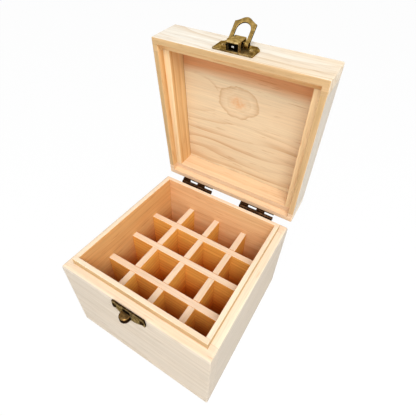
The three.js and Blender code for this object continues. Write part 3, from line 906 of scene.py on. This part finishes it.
def bronze(name, bright, dark, dark_share=0.5, rubbed=None, rub=0.6, roughness=(0.3, 0.55),
           pits=0.5, metallic=0.95):
    """Plated and blackened metal. rubbed is the colour of its edges, real rubbing where it is
    lighter and painted shade where it is darker, and rub its strength.
    roughness is that of the plating and of the blackening."""
    bright, dark, rubbed = (linear(*colour) for colour in (bright, dark, rubbed or bright))
    material = new_material(name)
    tree = material.node_tree
    place = object_place(tree)
    cloud = noise(tree, place, *cloud_noise)
    grains = put(tree, "TexVoronoi", {"Vector": place, "Scale": pits_scale})
    brushed = ramp(tree, noise(tree, place, *brush_noise), [(0.3, 0.8), (0.7, 1.1)])
    patina = ramp(tree, cloud, [(0.3 + 0.3 * dark_share, 0.0), (0.62 + 0.2 * dark_share, 1.0)])
    colour = mix(tree, 1.0, mix(tree, patina, dark, bright), brushed, "MULTIPLY")
    pit = ramp(tree, grains.outputs["Distance"], [(0.05, 1.0), (0.22, 0.0)])
    colour = mix(tree, times(tree, pit, pits), colour, dark)
    colour = mix(tree, times(tree, edge_and_crease_mask(tree, 0.3 * mm), rub), colour, rubbed)
    relief = math_node(tree, "SUBTRACT", cloud, times(tree, pit, 0.8))
    bump = put(tree, "Bump", {"Height": relief, "Strength": 0.35, "Distance": 0.08 * mm})
    surface = put(tree, "BsdfPrincipled", {
        "Base Color": colour, "Metallic": metallic, "Normal": bump,
        "Roughness": ramp(tree, cloud, [(0.3, roughness[1]), (0.7, roughness[0])]),
        "Specular IOR Level": 0.3, "Specular Tint": bright})
    put(tree, "OutputMaterial", {"Surface": surface})
    return material


rubbed_bronze = bronze("rubbed_bronze", (232, 204, 142), (160, 134, 84), dark_share=0.35,
                       rubbed=(240, 206, 140), pits=0.2)
loop_bronze = bronze("loop_bronze", (188, 156, 92), (126, 102, 54), dark_share=0.35,
                     rubbed=(206, 176, 108), rub=0.4, pits=0.25)
plate_bronze = bronze("plate_bronze", (206, 176, 120), (112, 90, 52), dark_share=0.45, pits=0.35)
# the wings' edges are darkened: painted shadow along the plate's top edge
wing_bronze = bronze("wing_bronze", (196, 174, 132), (96, 80, 52), dark_share=0.4,
                     rubbed=(90, 74, 46), rub=0.45, roughness=(0.4, 0.6), pits=0.6)
# the tongue's edges are darkened, painting shade over their highlights
tongue_bronze = bronze("tongue_bronze", (158, 124, 76), (96, 72, 40), dark_share=0.4,
                       rubbed=(96, 72, 40), pits=0.3)
cut_edge = bronze("cut_edge", (120, 88, 46), (48, 34, 16), dark_share=0.8, rub=0.1)
painted_shadow_black = bronze("painted_shadow_black", (12, 9, 7), (5, 3, 2), dark_share=1.0, rub=0.0,
                      roughness=(0.8, 0.9), metallic=0.0)
# the hinges' edges take a near-black colour: painted shade along the knuckles' outlines
hinge_bronze = bronze("hinge_bronze", (118, 88, 62), (72, 48, 32), rubbed=(34, 20, 12),
                      rub=0.8, roughness=(0.3, 0.5), pits=0.3)
hinge_screw = bronze("hinge_screw", (196, 160, 116), (112, 84, 56), dark_share=0.3,
                     rubbed=(196, 164, 120), rub=0.5, pits=0.2)
steel_wire = bronze("steel_wire", (228, 228, 226), (130, 130, 130), dark_share=0.1,
                    roughness=(0.18, 0.3), pits=0.1)
print("materials so far:", len(bpy.data.materials))

# %% [markdown]
# ## Drawing small parts
#
# Stamped parts are outlines with a thickness. An outline is drawn as a chain of edges:
# straight runs go from point to point, and an arc is one vertex spun round a centre. The
# closed chain is filled, mirrored where the part is symmetrical, and given its thickness.

# %% Tools for outlines
def verts_of(geometry):
    return [g for g in geometry if isinstance(g, bmesh.types.BMVert)]


def chain(bm, points):
    """Edges from point to point, given in X and Z. Returns the vertices."""
    made = [bm.verts.new((x, 0, z)) for x, z in points]
    for pair in zip(made, made[1:]):
        bm.edges.new(pair)
    return made


def arc(bm, start, centre, axis, angle, steps):
    """An arc of edges, drawn by a vertex that turns round a centre. Returns its two ends."""
    first = bm.verts.new(start)
    made = bmesh.ops.spin(bm, geom=[first], cent=centre, axis=axis, angle=angle, steps=steps,
                          use_duplicate=False)
    return first, verts_of(made["geom_last"])[0]


def fill(bm):
    """Joins the loose ends and makes the closed outline a face."""
    bmesh.ops.remove_doubles(bm, verts=bm.verts, dist=touching)
    bmesh.ops.contextual_create(bm, geom=bm.edges[:])


def thicken(bm, direction):
    """Pulls all faces out along a direction into a closed body."""
    grown = bmesh.ops.extrude_face_region(bm, geom=bm.faces[:], use_keep_orig=True)["geom"]
    bmesh.ops.translate(bm, vec=direction, verts=verts_of(grown))
    bmesh.ops.recalc_face_normals(bm, faces=bm.faces)


def rod(bm, radius, low, high, centre_y, centre_z, segments=32):
    """A closed cylinder along X."""
    place = moved((low + high) / 2, centre_y, centre_z) @ turned(90, "Y")
    bmesh.ops.create_cone(bm, cap_ends=True, segments=segments, radius1=radius, radius2=radius,
                          depth=high - low, matrix=place)


def round_sharp_edges(bm, radius):
    """Rounds every outer edge sharper than 40 degrees."""
    bm.normal_update()
    weight = weights(bm)
    for edge in bm.edges:
        if edge.is_manifold and edge.is_convex and edge.calc_face_angle() > math.radians(40):
            edge[weight] = radius / greatest_rounding


def bevel_now(bm, offset, segments, chosen):
    """Bevels the chosen edges at once, without the modifier."""
    bmesh.ops.bevel(bm, geom=picked(bm, chosen), offset=offset, offset_type="OFFSET",
                    segments=segments, profile=0.5, affect="EDGES", material=-1)


print("small parts get chains, arcs, rods and blocks")

# %% [markdown]
# ## Screws
#
# Small round-headed screws with one slot. The head is a quarter circle spun into a dome.
# Two bisections mark the slot, and the strip between them is pushed down as a region, so
# the slot has upright walls and follows the dome.

# %% Screws
head_radius, head_height = 1.9 * mm, 0.9 * mm
dome_steps = 5
slot_half, slot_depth = 0.28 * mm, 0.5 * mm


def screw_head(name, body, node, material, place, slot_angle, toward):
    """A head that looks along Y (toward 1) or against it (-1)."""
    profile = [(0, 0)]
    for number in range(dome_steps + 1):
        angle = number / dome_steps * math.pi / 2
        profile.append((head_radius * math.cos(angle), head_height * math.sin(angle)))
    bm = bmesh.new()
    chain(bm, profile)
    bmesh.ops.spin(bm, geom=bm.verts[:] + bm.edges[:], cent=(0, 0, 0), axis=(0, 0, 1),
                   angle=math.tau, steps=28, use_merge=True)
    bmesh.ops.remove_doubles(bm, verts=bm.verts, dist=touching)
    bmesh.ops.recalc_face_normals(bm, faces=bm.faces)
    for x in (-slot_half, slot_half):
        cut(bm, (x, 0, 0), (1, 0, 0))
    bm.normal_update()
    slot_faces = [f for f in bm.faces
                  if abs(f.calc_center_median().x) < slot_half and f.normal.z > 0.05]
    shade_share = bmesh.ops.extrude_face_region(bm, geom=slot_faces)["geom"]
    bmesh.ops.translate(bm, vec=(0, 0, -slot_depth), verts=verts_of(shade_share))
    outwards = turned(-90 * toward, "X")
    turn = place @ outwards @ turned(slot_angle, "Z")
    finish(bm, name, body, [node], [material], place=turn)


print("screw heads", round(2 * head_radius / mm, 2), "mm across")

# %% [markdown]
# ## Hinges
#
# Each hinge is two leaves whose knuckles share one pin. The lid's leaf has the first and
# third knuckle, the base's the second and fourth. A knuckle is a rod, and two blocks behind
# it stand for the sheet that runs on from the curl into the leaf. A leaf is drawn standing
# up from its pin, and the base's leaf is then turned down.

# %% Hinges
hinge_width = 33 * mm
hinge_centres = {"left": -32 * mm, "right": 32 * mm}
barrel_radius = 1.75 * mm
leaf_outer, leaf_inner = -1.9 * mm, -3.12 * mm
leaf_start = {1: 2.7 * mm, -1: 1.9 * mm}  # of the lid's leaf and of the base's
leaf_end = 15 * mm
leaf_corner = 2 * mm
leaf_overlap = 2 * mm
knuckle_gap = 0.3 * mm
knuckle_count = 4
curl_inside = barrel_radius - 1.1 * mm


def leaf(name, body, node, centre, up, place):
    bm = block((-hinge_width / 2, leaf_inner, leaf_start[up]),
               (hinge_width / 2, leaf_outer, leaf_end))
    bevel_now(bm, leaf_corner, 5, lambda a, b: level(a, b, leaf_end) and near(a.x, b.x))
    knuckle_width = hinge_width / knuckle_count
    for index in range(0 if up > 0 else 1, knuckle_count, 2):
        low = index * knuckle_width - hinge_width / 2 + (knuckle_gap / 2 if index else 0)
        high = (index + 1) * knuckle_width - hinge_width / 2
        if index < knuckle_count - 1:
            high -= knuckle_gap / 2
        rod(bm, barrel_radius, low, high, 0, 0)
        add_block(bm, (low, leaf_inner, curl_inside), (high, 0, barrel_radius))
        add_block(bm, (low + hairline, leaf_inner + hairline, curl_inside + 2 * hairline),
                  (high - hairline, leaf_outer - hairline, leaf_start[up] + leaf_overlap))
    round_sharp_edges(bm, 0.25 * mm)
    bmesh.ops.transform(bm, matrix=Matrix.Diagonal((1, 1, up, 1)), verts=bm.verts)
    finish(bm, name, body, [node], [hinge_bronze],
           place=place @ moved(centre, 0, 0), segments=3)


def pin(name, body, node, material, radius, half_length, place):
    bm = bmesh.new()
    rod(bm, radius, -half_length, half_length, 0, 0, segments=24)
    round_sharp_edges(bm, radius * 0.55)
    finish(bm, name, body, [node], [material], place=place)


at_pin = moved(*hinge_axis)
open_at_pin = swing @ at_pin
pin_radius, pin_overhang = 0.95 * mm, 0.35 * mm
screw_aside, screw_distance = 10 * mm, 9.5 * mm
slot_angles = iter((12, -35, 71, 28, -64, 40, 5, -20))
for hand, centre in hinge_centres.items():
    leaf(f"{hand}_base_leaf", "base", f"{hand}_hinge_base_leaf", centre, -1, at_pin)
    leaf(f"{hand}_lid_leaf", "lid", f"{hand}_hinge_lid_leaf", centre, 1, open_at_pin)
    pin(f"{hand}_pin", "base", f"{hand}_hinge_pin", hinge_bronze, pin_radius,
        hinge_width / 2 + pin_overhang, at_pin @ moved(centre, 0, 0))
    for number, side in enumerate((-screw_aside, screw_aside), 1):
        for part, up, place in (("base", -1, at_pin), ("lid", 1, open_at_pin)):
            spot = place @ moved(centre + side, leaf_outer, up * screw_distance)
            screw_head(f"{hand}_{part}_screw_{number}", part, f"{hand}_hinge_{part}_screw_{number}",
                       hinge_screw, spot, next(slot_angles), 1)

# %% [markdown]
# ## Hasp
#
# The plate on the lid's front carries a folded box, the knuckle: a strip of the same sheet
# bent out, along and back. Inside it the loop's pin is held by a small spring, whose end
# glints in the dark opening. With the lid shut the loop can hang down in front of the
# catch. Here it stands up and leans over the lid's edge.

# %% Hasp plate
hasp_place = lid_place @ moved(-1.6 * mm, -half_box, 3.5 * mm)
plate_front, plate_back = -1.3 * mm, -0.02 * mm
plate_half, plate_height = 14.8 * mm, 15.2 * mm
corner_cut = 3.4 * mm
plate = block((-plate_half, plate_front, 0), (plate_half, plate_back, plate_height))
bevel_now(plate, corner_cut, 1, lambda a, b: level(a, b, plate_height) and near(a.x, b.x))
round_sharp_edges(plate, 0.3 * mm)
finish(plate, "hasp_plate_sheet", "lid", ["hasp_plate"], [plate_bronze], place=hasp_place)

# %% Hasp knuckle
knuckle_half = 4.3 * mm
knuckle_low, knuckle_high = 0.4 * mm, 12.5 * mm
knuckle_out = -7 * mm
fold_sheet = 1.1 * mm
fold_inside = knuckle_out + fold_sheet
cheek_depth, cheek_sheet, cheek_set_back = 4.2 * mm, 0.9 * mm, 0.15 * mm
overlap = 0.3 * mm
loop_barrel = 1.8 * mm
pin_in_plate = Vector((0, -3.4 * mm, 8.8 * mm))


def knuckle_box():
    """The folded sheet: its far wall, its cheeks, its top, and the barrel round the pin."""
    back = plate_front + 0.1 * mm
    bm = block((-knuckle_half, knuckle_out, knuckle_low), (knuckle_half, fold_inside, knuckle_high))
    round_sharp_edges(bm, 0.5 * mm)
    for side in (-1, 1):
        low, high = sorted((side * knuckle_half, side * (knuckle_half - cheek_sheet)))
        add_block(bm, (low, fold_inside - overlap, knuckle_low + cheek_set_back),
                  (high, back, knuckle_low + cheek_depth))
    add_block(bm, (-knuckle_half, fold_inside - overlap, knuckle_high - fold_sheet),
              (knuckle_half, back, knuckle_high))
    rod(bm, loop_barrel, -knuckle_half, knuckle_half, pin_in_plate.y, pin_in_plate.z)
    return bm


def knuckle_region(face):
    """1 on the sheet's cut ends beside the opening, painted black as shade."""
    behind_far_wall = face.calc_center_median().y > fold_inside
    return int(face.normal.z < -0.5 and behind_far_wall)


finish(knuckle_box(), "hasp_knuckle", "lid", ["hasp_plate"],
       [rubbed_bronze, painted_shadow_black], region=knuckle_region, place=hasp_place)

# a black block fills the fold, a little back from its opening, as painted shadow
hollow_half, hollow_slack = knuckle_half - 0.95 * mm, 0.02 * mm
hollow_low, hollow_high = knuckle_low + 1.6 * mm, knuckle_high - 1.2 * mm
bm = block((-hollow_half, fold_inside + hollow_slack, hollow_low),
           (hollow_half, plate_front + hollow_slack, hollow_high))
finish(bm, "hasp_fold_shadow", "lid", ["hasp_plate"], [painted_shadow_black], place=hasp_place)

spring_radius, spring_half = 0.75 * mm, 0.9 * mm
spring_out, spring_height = -3.6 * mm, 1.7 * mm
bm = bmesh.new()
rod(bm, spring_radius, -spring_half, spring_half, spring_out, spring_height)
round_sharp_edges(bm, 0.3 * mm)
finish(bm, "hasp_spring_end", "lid", ["hasp_plate"], [steel_wire], place=hasp_place)

# %% Hasp loop
lean = 48
loop_place = hasp_place @ moved(*pin_in_plate) @ turned(90 - lean, "X")
loop_half, loop_shoulder, loop_point = 8 * mm, 14 * mm, 17.6 * mm
window_half, window_top = 5.15 * mm, 14 * mm
loop_thickness = 1.2 * mm
ogee = [(0.9, 0.06), (0.77, 0.19), (0.54, 0.49), (0.4, 0.7), (0.26, 0.87), (0.12, 0.97)]


def loop_outline(bm):
    """The right half: up the outside, over the ogee to the point, down round the window."""
    rise = loop_point - loop_shoulder
    points = [(window_half, 0), (loop_half, 0), (loop_half, loop_shoulder)]
    points += [(across * loop_half, loop_shoulder + up * rise) for across, up in ogee]
    points += [(0, loop_point), (0, window_top)]
    drawn = chain(bm, points)
    last = arc(bm, drawn[-1].co, (0, 0, window_top - window_half), (0, 1, 0), math.pi / 2, 10)[1]
    chain(bm, [(last.co.x, last.co.z), (window_half, 0)])
    fill(bm)


bm = bmesh.new()
loop_outline(bm)
bmesh.ops.mirror(bm, geom=bm.verts[:] + bm.edges[:] + bm.faces[:], merge_dist=touching, axis="X")
thicken(bm, (0, loop_thickness, 0))
bmesh.ops.translate(bm, vec=(0, -loop_thickness / 2, 0), verts=bm.verts)
round_sharp_edges(bm, 0.3 * mm)
for side in (-1, 1):
    low, high = sorted((side * window_half, side * loop_half))
    rod(bm, loop_barrel, low, high, 0, 0)
finish(bm, "hasp_loop_sheet", "hasp_loop", ["hasp_loop"], [loop_bronze, cut_edge],
       region=lambda f: int(abs(f.normal.y) < 0.3), place=loop_place)

rivet_radius, rivet_overhang = 1 * mm, 0.15 * mm
pin("hasp_pin_rivet", "lid", "hasp_pin", cut_edge, rivet_radius,
    loop_half + rivet_overhang, hasp_place @ moved(*pin_in_plate))


def screw_pair(part, body, material, place, aside, height, slot_angles):
    """Two screws that hold a plate on the front."""
    for hand, side, angle in zip(("left", "right"), (-aside, aside), slot_angles):
        screw_head(f"{part}_{hand}_screw", body, f"{part}_screw_{hand}", material,
                   place @ moved(side, plate_front, height), angle, -1)


screw_pair("hasp", "lid", plate_bronze, hasp_place, 10.3 * mm, 8 * mm, (24, -38))

# %% [markdown]
# ## Catch
#
# The catch on the base has two wings and a round tongue that curls out from a slot and
# turns down. The tongue's top catches the light, and its turned-down rim takes the dark
# cut-edge bronze as painted shade.

# %% Catch
catch_place = moved(0.6 * mm, -half_box, base_height + 0.9 * mm)
catch_half, catch_height = 14.7 * mm, 12.4 * mm
slot_left, slot_right, slot_top, slot_low = -4.4 * mm, 1.6 * mm, -1.4 * mm, -6.3 * mm
wing = [(0.96, 0), (1, 0.35), (0.99, 0.6), (0.95, 0.74), (0.88, 0.69), (0.8, 0.66),
        (0.7, 0.75), (0.56, 0.86), (0.38, 0.96), (0.2, 1)]


def catch_half_sheet(bm, side, slot_end):
    """One wing, with its share of the slot cut from its straight edge."""
    points = [(0, 0)] + [(side * x * catch_half, -z * catch_height) for x, z in wing]
    points += [(0, -catch_height), (0, slot_low), (slot_end, slot_low), (slot_end, slot_top),
               (0, slot_top)]
    drawn = chain(bm, points)
    bm.edges.new((drawn[-1], drawn[0]))
    bmesh.ops.contextual_create(bm, geom=[e for e in bm.edges if e.verts[0] in drawn])


bm = bmesh.new()
catch_half_sheet(bm, 1, slot_right)
catch_half_sheet(bm, -1, slot_left)
bmesh.ops.remove_doubles(bm, verts=bm.verts, dist=touching)
bmesh.ops.translate(bm, vec=(0, plate_back, 0), verts=bm.verts)
thicken(bm, (0, plate_front - plate_back, 0))
round_sharp_edges(bm, 0.35 * mm)
finish(bm, "catch_wings", "base", ["catch_plate"], [wing_bronze, cut_edge],
       region=lambda f: int(abs(f.normal.y) < 0.5), place=catch_place)

# a black strip lies behind the slot as painted shadow
slot_back_low, slot_back_high = -0.6 * mm, -0.03 * mm
bm = block((slot_left, slot_back_low, slot_low), (slot_right, slot_back_high, slot_top))
finish(bm, "catch_slot_shadow", "base", ["catch_plate"], [painted_shadow_black], place=catch_place)

# %% Catch tongue
tongue_offset = -2.3 * mm
tongue_half = 4.2 * mm
tongue_reach, tongue_drop = 5.2 * mm, 4.2 * mm
tongue_root = 0.5 * mm
tongue_sheet = 1 * mm


def tongue():
    """A round-ended cap: its top outline, pulled down, its underside pushed back up."""
    bm = bmesh.new()
    middle = (0, tongue_half - tongue_reach, 0)
    start, last = arc(bm, (tongue_half, middle[1], 0), middle, (0, 0, 1), -math.pi, 20)
    roots = [bm.verts.new((x, tongue_root, 0)) for x in (-tongue_half, tongue_half)]
    for pair in ((last, roots[0]), roots, (roots[1], start)):
        bm.edges.new(pair)
    fill(bm)
    thicken(bm, (0, 0, -tongue_drop))
    step(bm, -1, tongue_sheet, tongue_drop - tongue_sheet)
    round_off(bm, 1.2 * mm, lambda a, b: level(a, b, 0) and not (
        near(a.y, tongue_root) and near(b.y, tongue_root)))
    return bm


at_slot = moved(tongue_offset, plate_front, slot_low)
# the tongue's turned-down rim takes the dark cut-edge bronze: painted shade
finish(tongue(), "catch_tongue", "base", ["catch_plate"], [tongue_bronze, cut_edge],
       region=lambda f: int(abs(f.normal.z) < 0.5), place=catch_place @ at_slot, segments=5)
screw_pair("catch", "base", cut_edge, catch_place, 12 * mm, -4.5 * mm, (8, 52))
